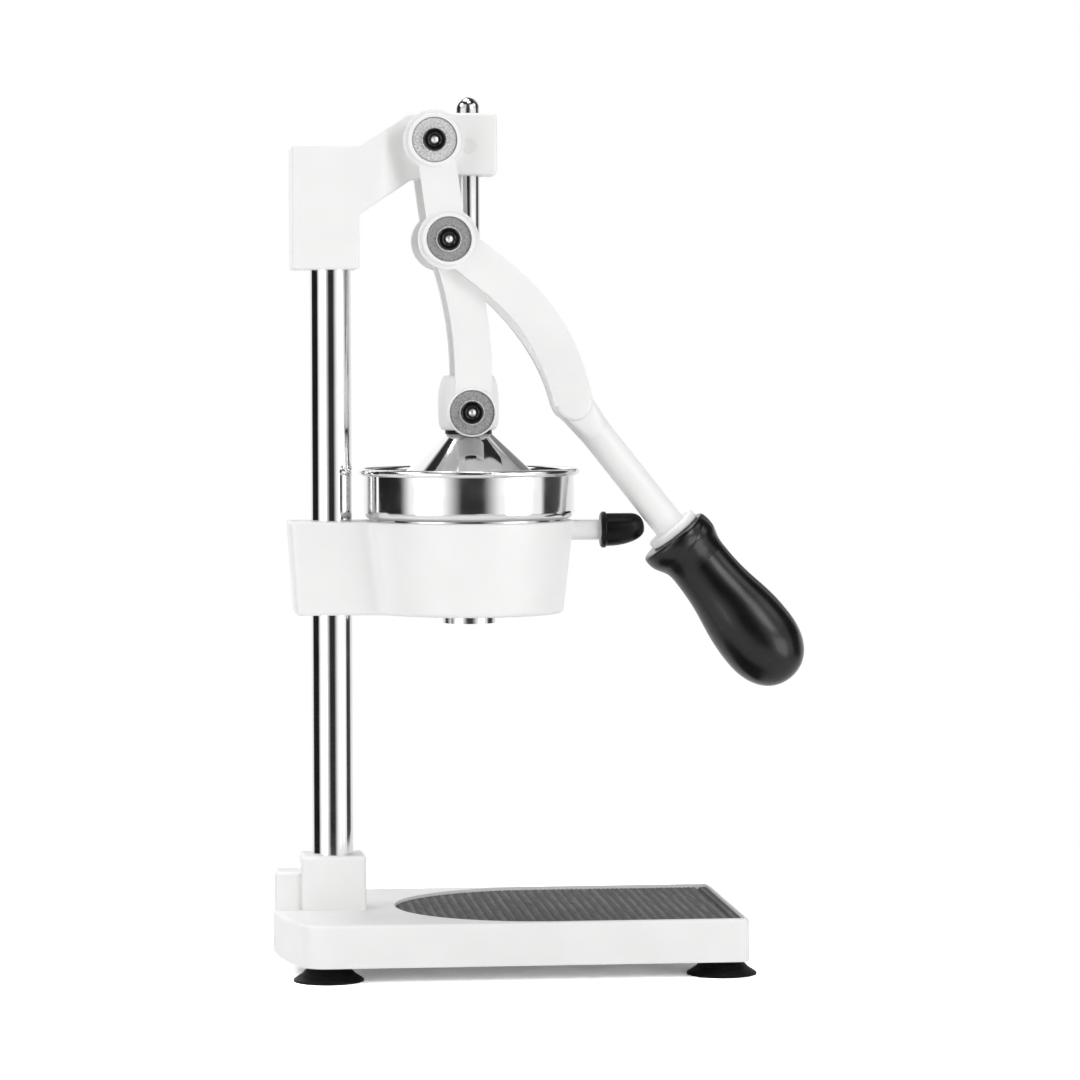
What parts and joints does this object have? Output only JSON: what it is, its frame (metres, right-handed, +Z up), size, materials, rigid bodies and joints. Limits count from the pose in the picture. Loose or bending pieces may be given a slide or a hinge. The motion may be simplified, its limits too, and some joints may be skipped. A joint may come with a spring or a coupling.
{
  "type": "manual citrus press",
  "caption": "Column-mounted hand press for citrus: a long lever drives a guided cone into a bowl, and the juice runs through a funnel to a glass on the base.",
  "frame": {"origin": "middle of the footprint box, on the standing plane under the feet; the press axis is at X -42.1 mm", "axes": "+Z up along the column, +X to the front where the handle is, +Y across the press to the far side"},
  "size_m": [0.3191, 0.169, 0.515],
  "materials": {
    "white_coat": "satin white powder coat",
    "bowl_holder_coat": "satin white powder coat on an aluminium casting",
    "column_chrome": "mirror chrome",
    "rod_chrome": "mirror chrome",
    "bowl_steel": "polished stainless steel",
    "cone_steel": "polished stainless steel",
    "funnel_steel": "satin stainless steel",
    "washer_zinc": "grainy zinc",
    "screw_black": "black oxide",
    "pin_steel": "ground steel",
    "bush_bronze": "sintered bronze",
    "grip_black": "glossy black",
    "rubber_black": "matt black rubber",
    "mat_grey": "ribbed dark grey rubber",
    "reamer_plastic": "off-white moulded plastic"
  },
  "bodies": {
    "stand": {"base_plate": "white_coat", "base_mat": "mat_grey", "suction_feet": "rubber_black", "foot_studs": "pin_steel", "column": "column_chrome", "base_clamp_screws": "screw_black", "head_casting": "white_coat", "head_clamp_screws": "screw_black", "guide_bushes": "bush_bronze", "bush_lock_pin": "white_coat", "bowl_holder": "bowl_holder_coat", "holder_clamp_screws": "screw_black", "juice_funnel": "funnel_steel", "squeezing_bowl": "bowl_steel", "reamer_cone": "reamer_plastic", "stop_bumper": "rubber_black", "head_pivot_pin": "pin_steel", "head_pivot_washers": "washer_zinc", "head_pivot_screws": "screw_black"},
    "lever": {"lever_yoke": "white_coat", "lever_bushes": "bush_bronze", "handle_grip": "grip_black", "elbow_pins": "pin_steel", "elbow_washers": "washer_zinc", "elbow_screws": "screw_black"},
    "links": {"link_near": "white_coat", "link_far": "white_coat", "link_bushes": "bush_bronze"},
    "presser": {"crosshead": "white_coat", "guide_rod": "rod_chrome", "crosshead_pin": "pin_steel", "crosshead_washers": "washer_zinc", "crosshead_screws": "screw_black", "presser_cone": "cone_steel", "presser_screws": "pin_steel", "cone_gasket": "rubber_black"}
  },
  "joints": [
    {"name": "lever_hinge", "type": "hinge", "parent": "stand", "child": "lever", "pos_m": [-0.0643, 0, 0.48841], "axis": [0, -1, 0], "range_deg": [0, 85]},
    {"name": "press_slide", "type": "slide", "parent": "stand", "child": "presser", "axis": [0, 0, 1], "range_m": [0, 0.067]},
    {"name": "link_swing", "type": "hinge", "parent": "presser", "child": "links", "pos_m": [-0.0421, 0, 0.3287], "axis": [0, -1, 0], "range_deg": [-28.6, 0]}
  ],
  "couplings": [
    {"joint": "press_slide", "follows": "lever_hinge", "m_per_rad": 0.045102},
    {"joint": "link_swing", "follows": "lever_hinge", "ratio": -0.3353}
  ]
}
